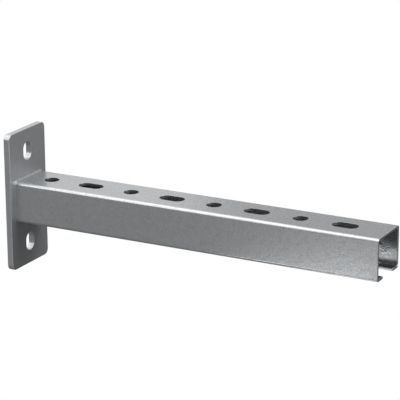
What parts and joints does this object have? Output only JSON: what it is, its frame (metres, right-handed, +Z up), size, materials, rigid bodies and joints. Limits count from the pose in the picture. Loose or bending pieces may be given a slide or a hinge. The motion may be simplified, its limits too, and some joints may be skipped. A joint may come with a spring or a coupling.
{
  "type": "wall bracket",
  "caption": "Cantilever wall bracket: an arm folded as a lipped channel, with round and slotted holes along its top, welded to a flat back plate that bolts to a wall.",
  "frame": {"origin": "middle of the back plate's wall face, level with the middle of the arm", "axes": "+X out from the wall along the arm, +Z up towards the arm's web, +Y to the left of someone who looks out from the wall"},
  "size_m": [0.305, 0.05, 0.108],
  "materials": {
    "plate_steel": "satin zinc",
    "channel_steel": "satin zinc",
    "weld_metal": "satin zinc over a weld bead"
  },
  "bodies": {
    "root": {"back_plate": "plate_steel", "channel_arm": "channel_steel", "weld_bead": "weld_metal"}
  },
  "joints": []
}
